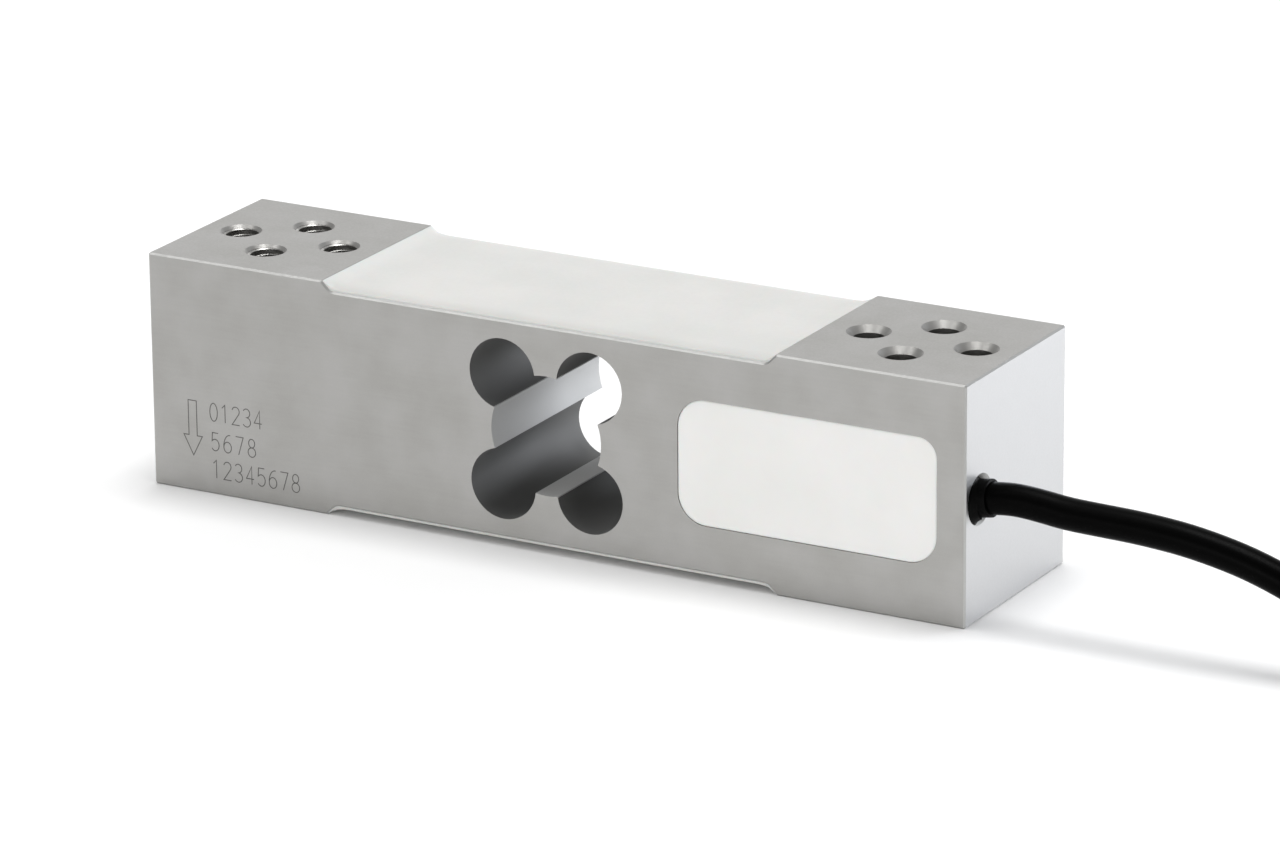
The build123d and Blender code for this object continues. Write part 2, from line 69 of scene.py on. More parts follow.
# the sockets X, Y and Z of a vector, each without its sign
def absoluteParts(tree, vector):
    unsigned = addNode(tree, "ShaderNodeVectorMath", {0: vector}, operation="ABSOLUTE")
    return addNode(tree, "ShaderNodeSeparateXYZ", {"Vector": unsigned.outputs[0]}).outputs


# eases from 0 to 1 as t goes from 0 to 1
def smoothStep(t):
    t = np.clip(t, 0, 1)
    return t * t * (3 - 2 * t)


# Faces of a grid of points: each cell is one quad, wrapRows joins the last row to the first,
# wrapColumns the last column to the first, and caps closes the first and last rows.
def gridFaces(rows, columns, wrapRows, wrapColumns, caps):
    cellRows, cellColumns = rows - (not wrapRows), columns - (not wrapColumns)
    i, j = np.meshgrid(np.arange(cellRows), np.arange(cellColumns), indexing="ij")
    nextI, nextJ = (i + 1) % rows, (j + 1) % columns
    corners = [i * columns + j, i * columns + nextJ, nextI * columns + nextJ, nextI * columns + j]
    faces = np.stack([c.ravel() for c in corners], axis=1).tolist()
    if caps:
        first = np.arange(columns)
        faces += [first[::-1].tolist(), (first + (rows - 1) * columns).tolist()]
    return faces


# Six times the volume inside the faces, summed over the quads: below zero when they look inwards
def signedVolume(points, faces):
    quads = np.array([f for f in faces if len(f) == 4])
    a, b, c, d = (points[quads[:, k]] for k in range(4))
    middle = points.mean(axis=0)
    a, b, c, d = a - middle, b - middle, c - middle, d - middle
    return (np.cross(a, b) * c).sum() + (np.cross(a, c) * d).sum()


# One object from closed grids in millimetres, each turned so that its faces look outwards
def surfacePiece(name, grids, wrapRows=False, wrapColumns=True, caps=True, smooth=40):
    points, faces, start = [], [], 0
    for grid in grids:
        rows, columns = grid.shape[:2]
        flat = grid.reshape(-1, 3)
        own = gridFaces(rows, columns, wrapRows, wrapColumns, caps)
        if signedVolume(flat, own) < 0:
            own = [f[::-1] for f in own]
        points.append(flat)
        faces += [[start + k for k in f] for f in own]
        start += len(flat)
    mesh = bpy.data.meshes.new(name)
    mesh.from_pydata((np.concatenate(points) * mm).tolist(), [], faces)
    mesh.shade_smooth()
    mesh.set_sharp_from_angle(angle=np.radians(smooth))
    mesh.validate()
    return placed(bpy.data.objects.new(name, mesh))


# Profile carried along a path: point = path + side * profile's first number + up * its second
def carryProfile(path, side, up, profile):
    profile = np.broadcast_to(profile, (len(path), *np.shape(profile)[-2:]))
    return path[:, None] + side[:, None] * profile[..., 0:1] + up[:, None] * profile[..., 1:2]


# A rounded rectangle: four quarter circles, one at each corner, joined by straight sides
def roundedRectangle(halfWidth, halfHeight, radii, steps=8):
    signs = np.array([(1, 1), (-1, 1), (-1, -1), (1, -1)])
    angles = np.radians(np.linspace(0, 90, steps))
    corners = []
    for k, (sign, radius) in enumerate(zip(signs, np.broadcast_to(radii, 4))):
        centre = sign * (np.array([halfWidth, halfHeight]) - radius)
        turn = angles + k * np.pi / 2
        corners.append(centre + radius * np.stack([np.cos(turn), np.sin(turn)], axis=1))
    return np.concatenate(corners)


# links a new object to the scene
def placed(thing):
    bpy.context.scene.collection.objects.link(thing)
    return thing


# gives a piece its finish and its body, and hides the CAD nodes it stands for; slot is not used
def dress(piece, finish, slot, *replaced):
    piece.data.materials.clear()
    piece.data.materials.append(finish)
    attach(piece, "root")
    if replaced:
        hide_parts(*replaced)
    return piece


# Camera, floor and lights

# the camera, fitted to the block's corners and holes: its place in mm and the directions it sees
view = {
    "place": (539.8006, -944.8091, 381.9107),
    "right": (0.8725506, 0.4884522, -0.0083645),
    "down": (0.1486538, -0.2817813, -0.9478931),
    "forward": (-0.4653574, 0.8258413, -0.3184787),
    "focalPixels": 7085.8,
    "imageWidth": 1280,
    "sensorWidth": 36.0,
}
camera = placed(bpy.data.objects.new("camera", bpy.data.cameras.new("camera")))
camera.data.sensor_width = view["sensorWidth"]
camera.data.lens = view["focalPixels"] * view["sensorWidth"] / view["imageWidth"]
camera.data.clip_end = 20
axes = [Vector(view["right"]), -Vector(view["down"]), -Vector(view["forward"])]
camera.matrix_world = Matrix.Translation(Vector(view["place"]) * mm) @ Matrix(axes).transposed().to_4x4()
bpy.context.scene.camera = camera
bpy.context.scene.view_settings.view_transform = "Standard"

floorSize = 6.0  # metres
floorMesh = bpy.data.meshes.new("floor")
half = floorSize / 2
floorCorners = [(-half, -half, 0), (half, -half, 0), (half, half, 0), (-half, half, 0)]
floorMesh.from_pydata(floorCorners, [], [(0, 1, 2, 3)])
studioFloor = placed(bpy.data.objects.new("floor", floorMesh))

# soft boxes, in metres and watts: where each stands, where it looks, its width and height, and its
# power. Each is white unless it has a tone of its own.
softBoxes = {
    "overhead": {"place": (0.02, 0.13, 1.45), "aim": (0, 0, 0), "size": (0.6, 0.6), "watts": 12},
    "backLeft": {"place": (-0.65, 1.16, 0.46), "aim": (0, 0, 0.04), "size": (1.4, 0.9), "watts": 2.6},
    "backRight": {"place": (1.02, 1.18, 0.19), "aim": (0.05, 0, 0.02), "size": (1.1, 0.38), "watts": 20,
                  "tone": "#f4f8ff"},
    "lowFront": {"place": (0.05, -1.6, 0.28), "aim": (0.04, 0, 0.02), "size": (1.0, 0.4), "watts": 6},
    "edgeLeft": {"place": (-0.7, -0.48, 1.24), "aim": (0, 0, 0.02), "size": (0.5, 0.5), "watts": 1.8},
}
worldLight = {"tone": "#ffffff", "strength": 0.45}
for name, box in softBoxes.items():
    lamp = placed(bpy.data.objects.new(name, bpy.data.lights.new(name, "AREA")))
    lamp.data.shape = "RECTANGLE"
    lamp.data.size, lamp.data.size_y = box["size"]
    lamp.data.energy = box["watts"]
    lamp.data.color = linearRgb(box.get("tone", "#ffffff"))[:3]
    lamp.location = box["place"]
    looking = Vector(box["aim"]) - Vector(box["place"])
    lamp.rotation_euler = looking.to_track_quat("-Z", "Y").to_euler()
world = bpy.data.worlds.new("studio")
world.use_nodes = True
world.node_tree.nodes["Background"].inputs["Color"].default_value = linearRgb(worldLight["tone"])
world.node_tree.nodes["Background"].inputs["Strength"].default_value = worldLight["strength"]
bpy.context.scene.world = world
print("camera, floor and lights placed")


# Finishes

# The start of every finish: two tones mixed by soft clouds, and roughness and relief from a finer
# grain. Sizes are real ones in millimetres. It returns the nodes that a finish builds on.
def startFinish(name, tones, cloudMm, grainMm, reliefMm, roughness, **shaderValues):
    finish = bpy.data.materials.new(name)
    finish.use_nodes = True
    tree = finish.node_tree
    shader = tree.nodes["Principled BSDF"]
    for socket, value in shaderValues.items():
        shader.inputs[socket.replace("_", " ")].default_value = value
    place = addNode(tree, "ShaderNodeTexCoord").outputs["Object"]
    clouds = addNode(tree, "ShaderNodeTexNoise", {"Vector": place, "Scale": 1 / (cloudMm * mm), "Detail": 3.0})
    grain = addNode(tree, "ShaderNodeTexNoise", {"Vector": place, "Scale": 1 / (grainMm * mm), "Detail": 2.0})
    ramp = addNode(tree, "ShaderNodeValToRGB", {"Fac": clouds.outputs[0]})
    for element, tone, position in zip(ramp.color_ramp.elements, tones, (0.35, 0.65)):
        element.color, element.position = linearRgb(tone), position
    spread = addNode(tree, "ShaderNodeMapRange", {"Value": grain.outputs[0], "From Min": 0.3, "From Max": 0.7,
                                                  "To Min": roughness[0], "To Max": roughness[1]})
    bump = addNode(tree, "ShaderNodeBump", {"Height": grain.outputs[0], "Distance": reliefMm * mm,
                                            "Strength": 0.6})
    tree.links.new(ramp.outputs["Color"], shader.inputs["Base Color"])
    tree.links.new(spread.outputs["Result"], shader.inputs["Roughness"])
    tree.links.new(bump.outputs["Normal"], shader.inputs["Normal"])
    return {"material": finish, "tree": tree, "shader": shader, "place": place, "bump": bump,
            "tone": ramp.outputs["Color"], "roughness": spread.outputs["Result"]}


# lays a second relief over a finish's grain
def addRelief(parts, height, reliefMm, strength=1.0):
    tree = parts["tree"]
    second = addNode(tree, "ShaderNodeBump", {"Height": height, "Distance": reliefMm * mm,
                                              "Strength": strength, "Normal": parts["bump"].outputs["Normal"]})
    tree.links.new(second.outputs["Normal"], parts["shader"].inputs["Normal"])


# mixes the finish's tone towards another where the mask is 1
def addTone(parts, mask, hexColour):
    tree = parts["tree"]
    mixed = addNode(tree, "ShaderNodeMix", {0: mask, 6: parts["tone"], 7: linearRgb(hexColour)},
                    data_type="RGBA")
    tree.links.new(mixed.outputs[2], parts["shader"].inputs["Base Color"])
    parts["tone"] = mixed.outputs[2]


aluminium = {
    "tones": ("#a3a29f", "#aaa9a7"),
    "cloudMm": 9.0,
    "grainMm": 0.35,  # a blasted grain is nearer 0.1 mm, too fine to show
    "reliefMm": 0.004,
    "roughness": (0.34, 0.44),
    "millMm": 0.5,  # spacing of the cutter's lines
    "sawStretch": 22.0,  # how much longer than wide the faint streaks are
    "streakRelief": (0.003, 0.4),  # its height in mm and its strength
    "streakTone": "#bfbdba",
    "streakShare": 0.08,  # how much of that tone the palest streak takes
    # painted light: the bore walls' lighter tone
    "borePaintedLightTone": "#c6c6c5",
    # painted shade: the lobes' darker tone
    "lobeShadeTone": "#7c7c7b",
    "boreRoughness": 0.8,
    "boreHalf": (14.3, 15.5),  # the clover bore lies within these of its axis, along the block and upwards
    "boreHeight": 20.0,
    "boreFacing": 0.5,  # a bore's wall faces sideways by less than this
    "lobeStart": 10.3,  # from the bore's axis
    # painted highlight: the end faces' brighter tone
    "endHighlightTone": "#bcbcbc",
    "endFacing": (0.8, 0.95),  # from here to here a face counts more and more as an end face
    # painted highlight: the broken edges' brighter tone
    "edgeHighlightTone": "#b8b8b6",
    "edgeFacing": 0.93,  # a slanting face faces along each axis by less than this
    "edgesBeyond": (74.5, 17.0),  # the broken edges lie past these, along and across the block
}


# Milled and clear anodised aluminium: an even satin grey, a little cloudy, with faint streaks along
# the block. The end faces have fine upright cutter lines and are painted brighter as a painted highlight,
# the broken edges carry a painted highlight, and the bore is cut duller, its walls painted lighter as painted
# light and its four drilled lobes painted darkest as painted shade.
def milledAluminium(look):
    parts = startFinish("milledAnodisedAluminium", look["tones"], look["cloudMm"], look["grainMm"],
                        look["reliefMm"], look["roughness"], Metallic=1.0)
    tree = parts["tree"]
    squeezed = 1 / look["sawStretch"]
    streaks = []
    for scale in ((squeezed, 1.0, 1.0), (1.0, 1.0, squeezed)):  # along the block, then upright
        turned = addNode(tree, "ShaderNodeMapping", {"Vector": parts["place"], "Scale": scale})
        streak = addNode(tree, "ShaderNodeTexNoise", {"Vector": turned.outputs[0], "Detail": 4.0,
                                                      "Scale": 1 / (look["millMm"] * mm)})
        streaks.append(streak.outputs[0])
    facing = absoluteParts(tree, addNode(tree, "ShaderNodeTexCoord").outputs["Normal"])
    endMin, endMax = look["endFacing"]
    onEnd = addNode(tree, "ShaderNodeMapRange", {"Value": facing["X"], "From Min": endMin, "From Max": endMax})
    onEnd = onEnd.outputs[0]
    lines = addNode(tree, "ShaderNodeMix", {0: onEnd, 2: streaks[0], 3: streaks[1]}).outputs[0]
    addRelief(parts, lines, *look["streakRelief"])
    paler = addNode(tree, "ShaderNodeMapRange", {"Value": lines, "From Min": 0.4, "From Max": 0.75,
                                                 "To Max": look["streakShare"]})
    addTone(parts, paler.outputs[0], look["streakTone"])

    # the milled ends, and the broken edges, both lightened as painted highlight: slanting faces close to a side
    # or an end
    steepest = mathNode(tree, "MAXIMUM", mathNode(tree, "MAXIMUM", facing["X"], facing["Y"]), facing["Z"])
    slanting = mathNode(tree, "LESS_THAN", steepest, look["edgeFacing"])
    fromMiddle = absoluteParts(tree, parts["place"])
    pastEnd = mathNode(tree, "GREATER_THAN", fromMiddle["X"], look["edgesBeyond"][0] * mm)
    pastSide = mathNode(tree, "GREATER_THAN", fromMiddle["Y"], look["edgesBeyond"][1] * mm)
    pastEither = mathNode(tree, "MAXIMUM", pastEnd, pastSide)
    # painted highlight: the end faces are painted brighter than the rest of the skin
    addTone(parts, mathNode(tree, "MULTIPLY", pastEnd, onEnd), look["endHighlightTone"])
    # painted highlight: the broken edges are painted brighter
    addTone(parts, mathNode(tree, "MULTIPLY", slanting, pastEither), look["edgeHighlightTone"])

    # the bore's walls, painted lighter as painted light: close to its axis and not facing sideways; the lobes
    # past the centre bore, painted darker as painted shade
    centred = addNode(tree, "ShaderNodeMapping", {"Vector": parts["place"], "Scale": (1.0, 0.0, 1.0),
                                                  "Location": (0, 0, -look["boreHeight"] * mm)}).outputs[0]
    reach = absoluteParts(tree, centred)
    limits = [(reach["X"], look["boreHalf"][0] * mm), (reach["Z"], look["boreHalf"][1] * mm),
              (facing["Y"], look["boreFacing"])]
    nearAlong, nearUp, turnedIn = (mathNode(tree, "LESS_THAN", value, limit) for value, limit in limits)
    boreWall = mathNode(tree, "MULTIPLY", mathNode(tree, "MULTIPLY", nearAlong, nearUp), turnedIn)
    # painted light: the bore's walls are painted lighter than the skin
    addTone(parts, boreWall, look["borePaintedLightTone"])
    fromAxis = addNode(tree, "ShaderNodeVectorMath", {0: centred}, operation="LENGTH").outputs["Value"]
    inLobe = mathNode(tree, "GREATER_THAN", fromAxis, look["lobeStart"] * mm)
    # painted shade: the four lobes are painted darker than the rest of the bore
    addTone(parts, mathNode(tree, "MULTIPLY", boreWall, inLobe), look["lobeShadeTone"])
    duller = addNode(tree, "ShaderNodeMix", {0: boreWall, 2: parts["roughness"], 3: look["boreRoughness"]})
    tree.links.new(duller.outputs[0], parts["shader"].inputs["Roughness"])
    return parts["material"]


# Cut thread in the same aluminium: brighter than the blasted skin, with the tap's fine turning lines
def tappedAluminium():
    parts = startFinish("tappedAluminium", ("#a3a29f", "#c2c1be"), 1.2, 0.2, 0.003, (0.24, 0.34), Metallic=1.0)
    rings = addNode(parts["tree"], "ShaderNodeTexWave", {"Vector": parts["place"], "Scale": 1 / (2.0 * mm),
                                                         "Distortion": 0.4}, bands_direction="Z")
    addRelief(parts, rings.outputs[1], 0.004, 0.4)
    return parts["material"]


# White silicone rubber, poured and levelled by itself: milky, softly shining, faintly uneven
def pouredSilicone(name, tones):
    parts = startFinish(name, tones, 14.0, 0.8, 0.004, (0.36, 0.46), IOR=1.41,
                        Subsurface_Weight=0.12, Subsurface_Scale=0.0015)
    swell = addNode(parts["tree"], "ShaderNodeTexNoise", {"Vector": parts["place"], "Scale": 1 / (6 * mm)})
    addRelief(parts, swell.outputs[0], 0.04, 0.5)
    return parts["material"]


# Polyurethane cable jacket: black, semi-matt, with the extruder's faint grain and a few paler scuffs
def extrudedJacket():
    parts = startFinish("extrudedPolyurethane", ("#010101", "#020202"), 5.0, 0.3, 0.01, (0.34, 0.42), IOR=1.5,
                        Specular_IOR_Level=0.03)
    scuffs = addNode(parts["tree"], "ShaderNodeTexNoise", {"Vector": parts["place"], "Scale": 1 / (2.2 * mm),
                                                           "Detail": 6.0, "Distortion": 1.5})
    worn = addNode(parts["tree"], "ShaderNodeMapRange", {"Value": scuffs.outputs[0], "From Min": 0.62,
                                                         "From Max": 0.78, "To Max": 0.5})
    addTone(parts, worn.outputs[0], "#070707")
    return parts["material"]


# Glass-epoxy laminate under green solder mask: the glass cloth's weave shows faintly through it
def maskedLaminate():
    parts = startFinish("greenMaskedLaminate", ("#12512c", "#196338"), 3.0, 0.3, 0.004, (0.25, 0.35), IOR=1.52)
    tree = parts["tree"]
    threads = {"Vector": parts["place"], "Scale": 1 / (3.0 * mm)}
    warp, weft = (addNode(tree, "ShaderNodeTexWave", threads, bands_direction=way).outputs[1] for way in "XZ")
    weave = mathNode(tree, "MULTIPLY", warp, weft)
    addTone(parts, weave, "#1f6f40")
    addRelief(parts, weave, 0.01, 0.5)
    return parts["material"]


# Chip resistor: black glazed middle with bright tinned caps, told apart by the distance from its centre
def chipFinish(name, centreX, capStart):
    parts = startFinish(name, ("#161617", "#202022"), 0.6, 0.12, 0.003, (0.22, 0.34), IOR=1.55)
    tree = parts["tree"]
    centred = addNode(tree, "ShaderNodeMapping", {"Vector": parts["place"], "Location": (-centreX * mm, 0, 0)})
    cap = mathNode(tree, "GREATER_THAN", absoluteParts(tree, centred.outputs[0])["X"], capStart * mm)
    addTone(parts, cap, "#c3c4c5")
    tree.links.new(cap, parts["shader"].inputs["Metallic"])
    return parts["material"]


# Finishes that need no more than their tones, grain and one pattern: tones, cloud and grain size,
# relief, roughness, the shader's own values, then the pattern's kind, size in mm and relief
plainFinishes = {
    # polyimide film: clear amber with a hard gloss and the roll's faint waves
    "amberPolyimide": (("#a8641b", "#b97222"), 2.0, 0.4, 0.002, (0.12, 0.2), {"IOR": 1.7},
                       ("wave", 1.5, 0.002)),
    # constantan foil: pale bronze, etched matt with rolling lines
    "etchedConstantan": (("#a8967c", "#b8a78f"), 0.8, 0.15, 0.002, (0.32, 0.42), {"Metallic": 1.0},
                         ("wave", 0.4, 0.002)),
    # tinned copper strand: silver grey, soft shine, a lay of fine wires
    "tinnedStrand": (("#b3b5b7", "#c6c8ca"), 0.7, 0.12, 0.004, (0.26, 0.36), {"Metallic": 1.0},
                     ("wave", 0.6, 0.02)),
    # bare copper track: warm and slightly dulled
    "bareCopper": (("#c07a55", "#d68f66"), 1.2, 0.2, 0.002, (0.26, 0.36), {"Metallic": 1.0},
                   ("noise", 0.5, 0.003)),
    # solder: bright and frozen in soft dimples
    "brightSolder": (("#bcbcba", "#cfcfcd"), 0.8, 0.2, 0.004, (0.14, 0.24), {"Metallic": 1.0},
                     ("cells", 0.5, 0.01)),
    # enamelled wire: deep red-brown varnish over copper
    "wireEnamel": (("#7c3415", "#8f4119"), 1.0, 0.2, 0.002, (0.16, 0.24), {"IOR": 1.55, "Coat_Weight": 0.4},
                   ("noise", 0.6, 0.003)),
    # nickel plate on brass: pale, warm metal, pressed smooth by the crimping die
    "nickelPlate": (("#b8b2a3", "#c8c2b4"), 1.5, 0.2, 0.003, (0.24, 0.34), {"Metallic": 1.0},
                    ("noise", 0.8, 0.006)),
    # heat-shrunk polyolefin: dull black, drawn tight, faintly rippled
    "shrunkPolyolefin": (("#010101", "#030303"), 3.0, 0.3, 0.006, (0.42, 0.52),
                         {"IOR": 1.5, "Specular_IOR_Level": 0.05}, ("noise", 1.4, 0.02)),
    # black sealing rubber: smeared in by hand, with soft lumps and a slight shine
    "smearedSealant": (("#010101", "#040404"), 2.0, 0.3, 0.008, (0.34, 0.5),
                       {"IOR": 1.45, "Specular_IOR_Level": 0.06}, ("noise", 0.9, 0.06)),
    # moulded nylon strap: black, slightly silky, with a fine eroded grain
    "mouldedNylon": (("#101011", "#17171a"), 3.0, 0.2, 0.01, (0.4, 0.5), {"IOR": 1.53}, ("noise", 1.0, 0.01)),
    # laser-marked skin: oxide darker and duller than the aluminium round it
    "laserMarkedOxide": (("#5e5d5b", "#6c6b69"), 0.8, 0.15, 0.003, (0.5, 0.62), {"Metallic": 0.7},
                         ("cells", 0.3, 0.006)),
    # matt paper sweep under the object: white, with hardly any tooth
    "paperSweep": (("#fafafa", "#fcfcfc"), 60.0, 2.0, 0.01, (0.8, 0.9),
                   {"IOR": 1.45, "Specular_IOR_Level": 0.1}, ("noise", 5.0, 0.01)),
}
# cable core insulation: smooth coloured vinyl with faint draw marks
coreTones = {"red": ("#9a1712", "#a81f18"), "black": ("#131313", "#1a1a1b"), "green": ("#17602e", "#1e6d37"),
             "white": ("#d6d6d2", "#dededa")}
for colour, tones in coreTones.items():
    plainFinishes[f"{colour}Insulation"] = (tones, 2.0, 0.25, 0.004, (0.36, 0.46), {"IOR": 1.53},
                                            ("noise", 1.2, 0.006))
patternNodes = {  # each with the output that gives its height
    "wave": ("ShaderNodeTexWave", 1),
    "noise": ("ShaderNodeTexNoise", 0),
    "cells": ("ShaderNodeTexVoronoi", 0),
}


# one of the finishes above
def plainFinish(name):
    *surface, shaderValues, (kind, sizeMm, patternRelief) = plainFinishes[name]
    parts = startFinish(name, *surface, **shaderValues)
    nodeKind, output = patternNodes[kind]
    pattern = addNode(parts["tree"], nodeKind, {"Vector": parts["place"], "Scale": 1 / (sizeMm * mm)})
    addRelief(parts, pattern.outputs[output], patternRelief, 0.6)
    return parts["material"]


finishes = {name: plainFinish(name) for name in plainFinishes}
finishes["aluminium"] = milledAluminium(aluminium)
finishes["tapped"] = tappedAluminium()
# the coat is the same silicone as the potting, given a darker tone as painted shade
finishes["coatSiliconeShadedCopy"] = pouredSilicone("coatSiliconeShadedCopy", ("#cacac7", "#d0cfcc"))
finishes["pottingSilicone"] = pouredSilicone("pottingSilicone", ("#e8e8e5", "#ecebe9"))
finishes["jacket"] = extrudedJacket()
finishes["board"] = maskedLaminate()
studioFloor.data.materials.append(finishes["paperSweep"])
print("finishes made:", len(finishes))


# Cable

cableShape = {
    "diameter": 5.2,
    "exit": (77.25, -12.5, 20.55),
    # the run from the sleeve to the hank: x and height, all in the plane of the entry
    "run": [(77.25, 20.55), (79.9, 20.90988), (82.7, 20.9), (86.0, 20.6), (90.0, 20.1), (95.5, 19.95),
            (103.0, 19.8), (112.25, 19.0), (123.25, 16.6), (134.5, 11.9), (145.5, 7.1), (155.5, 3.9),
            (165.5, 3.9)],
    "runY": -12.5,
    "foldX": (182.5, 278.5),  # the centres of the hank's two folds
    "middleY": 8.4,
    "turnRadii": (20.9, 15.6),
    "layers": 5,
    "turnPitch": 5.3,
    "lowestTurn": 3.9,
    "pointsPerStraight": 5,
    "pointsPerFold": 6,
    "changes": {"up": 185, "over": 150, "down": 140},  # where in a lap the cable moves to its next place
    "changeLength": {"up": 40, "over": 50, "down": 40},
    # its end inside the hank: from the first fold's centre, from the middle line and the height
    "tail": [(4, 15.6, 3.9), (16, 15.0, 3.85), (28, 12.4, 3.3), (40, 8.6, 2.8), (52, 6.0, 2.7),
             (62, 5.0, 2.7)],
}


# The wound length, in laps of two straights and two folds. The outer turns rise by one layer a lap, the
# cable then moves over to the inner turns at the top, and those come down by one layer a lap, each
# change eased along the lap. A control point on a fold is centre + radius * (cos, sin) of the angle,
# and stands out by 1 / cos of half a step, so that the smooth line has the turn's radius.
def woundPoints(shape):
    straight = shape["foldX"][1] - shape["foldX"][0]
    fold = np.pi * np.mean(shape["turnRadii"])
    lap = 2 * (straight + fold)
    alongStraight = (np.arange(shape["pointsPerStraight"]) + 0.5) / shape["pointsPerStraight"] * straight
    alongFold = straight + (np.arange(shape["pointsPerFold"]) + 0.5) / shape["pointsPerFold"] * fold
    halfLap = np.concatenate([alongStraight, alongFold])
    marks = np.concatenate([halfLap, halfLap + lap / 2])
    rises = shape["layers"] - 1
    laps = 2 * rises + 1
    wound = (marks + lap * np.arange(laps)[:, None]).ravel()

    def passed(kind, firstLap, count):
        starts = lap * (firstLap + np.arange(count)) + shape["changes"][kind]
        return smoothStep((wound[:, None] - starts) / shape["changeLength"][kind]).sum(axis=1)

    layer = passed("up", 0, rises) - passed("down", rises + 1, rises)
    outer, inner = shape["turnRadii"]
    radius = outer + (inner - outer) * passed("over", rises, 1)
    phase = wound % lap
    corners = np.cumsum([0, straight, fold, straight, fold])
    angle = np.radians(np.interp(phase, corners, [-90, -90, 90, 90, 270]))
    centreX = np.interp(phase, corners, [shape["foldX"][k] for k in (0, 1, 1, 0, 0)])
    onFold = (phase % (lap / 2)) > straight
    radius = radius / np.where(onFold, np.cos(np.pi / 2 / shape["pointsPerFold"]), 1)
    return np.stack([centreX + radius * np.cos(angle), shape["middleY"] + radius * np.sin(angle),
                     shape["lowestTurn"] + layer * shape["turnPitch"]], axis=1)


# an open smooth curve through control points in millimetres, drawn as a round tube
def smoothCurve(name, points, diameter, sides=6, stepsPerPoint=6):
    curve = bpy.data.curves.new(name, "CURVE")
    curve.dimensions = "3D"
    spline = curve.splines.new("NURBS")
    spline.points.add(len(points) - 1)
    withWeight = np.column_stack([np.array(points) * mm, np.ones(len(points))])
    spline.points.foreach_set("co", withWeight.ravel())
    spline.order_u = 3
    spline.use_endpoint_u = True
    spline.resolution_u = stepsPerPoint
    curve.bevel_depth = diameter / 2 * mm
    curve.bevel_resolution = sides
    curve.use_fill_caps = True
    return placed(bpy.data.objects.new(name, curve))


run = [(x, cableShape["runY"], z) for x, z in cableShape["run"]]
foldX, middleY = cableShape["foldX"], cableShape["middleY"]
tail = np.array([(foldX[0] + x, middleY - y, z) for x, y, z in cableShape["tail"]])
cablePoints = np.concatenate([run, woundPoints(cableShape), tail])
cable = smoothCurve("sensorCable", cablePoints, cableShape["diameter"])
dress(cable, finishes["jacket"], "cable_jacket", "cable", "cable_hank", "cable_tail")

# Stripped cores: they leave the jacket side by side, come down to the floor and fan out
coreShape = {
    "row": (-1.75, -0.8, 0.0, 0.8, 1.75),
    "names": ("red", "black", "screen", "green", "white"),
    "diameter": 0.9,
    "drain": 0.6,
    "conductor": 0.5,
    "straight": 2.0,
    # distance from the end of the jacket, from the hank's middle line, and from one core to the next
    "fan": [(15.3, 3.0, 2.05), (24.5, 1.5, 3.4), (34.0, 1.0, 3.7)],
    "floorGap": 0.05,
    "tipLength": 6.0,
    "tipStrands": 7,
    "tipRipple": 0.06,  # half the depth of the valleys between its strands, as a share of its radius
    "tipTwist": 4.0,  # radians along the tip
}
along = tail[-1] - tail[-2]
along /= np.linalg.norm(along)
across = np.array([along[1], -along[0], 0])
tailPieces, tipPaths = [], []
for i, name in enumerate(coreShape["names"]):
    isDrain = name == "screen"
    thick = coreShape["drain"] if isDrain else coreShape["diameter"]
    rest = coreShape["floorGap"] + thick / 2
    start = tail[-1] + across * coreShape["row"][i]
    lane = i - len(coreShape["names"]) // 2
    fan = [np.array([tail[-1][0] + x, middleY - y - lane * apart, rest]) for x, y, apart in coreShape["fan"]]
    points = [start, start + along * coreShape["straight"], *fan]
    core = smoothCurve(f"{name}CoreEnd", points, thick, sides=4, stepsPerPoint=10)
    finish, slot = ("tinnedStrand", "tinned_copper") if isDrain else (f"{name}Insulation", f"insulation_{name}")
    dress(core, finishes[finish], slot, f"tail_{name}_core")
    tailPieces.append(core)
    tipPaths.append((points[-1], points[-1] - points[-2]))


# A twisted, tinned tip, rounded off at its end: radius * (1 - ripple + ripple * cos of the number of
# strands times the angle), where the angle turns along the tip
def tinnedTip(start, direction, shape):
    direction = direction / np.linalg.norm(direction)
    side = np.array([direction[1], -direction[0], 0])
    side /= np.linalg.norm(side)
    up = np.cross(side, direction)
    length, radius, ripple = shape["tipLength"], shape["conductor"] / 2, shape["tipRipple"]
    shank = np.linspace(0, length - radius, 30)
    rounding = np.linspace(0.3, 1.4, 4)  # radians of the quarter circle that rounds the end
    distance = np.concatenate([shank, length - radius * (1 - np.sin(rounding))])
    taper = np.concatenate([np.ones_like(shank), np.cos(rounding)])
    turn = np.linspace(0, 2 * np.pi, 28, endpoint=False)
    twist = distance[:, None] / length * shape["tipTwist"]
    waves = 1 - ripple + ripple * np.cos(shape["tipStrands"] * (turn[None] + twist))
    radii = radius * taper[:, None] * waves
    profile = np.stack([radii * np.cos(turn), radii * np.sin(turn)], axis=-1)
    path = start + distance[:, None] * direction
    return carryProfile(path, np.tile(side, (len(path), 1)), np.tile(up, (len(path), 1)), profile)


tips = [tinnedTip(start, direction, coreShape) for start, direction in tipPaths]
tinnedTips = surfacePiece("tinnedTips", tips)
dress(tinnedTips, finishes["tinnedStrand"], "tinned_copper", "tail_tinned_ends")
print("cable wound:", len(cablePoints), "points")


# Hank ties

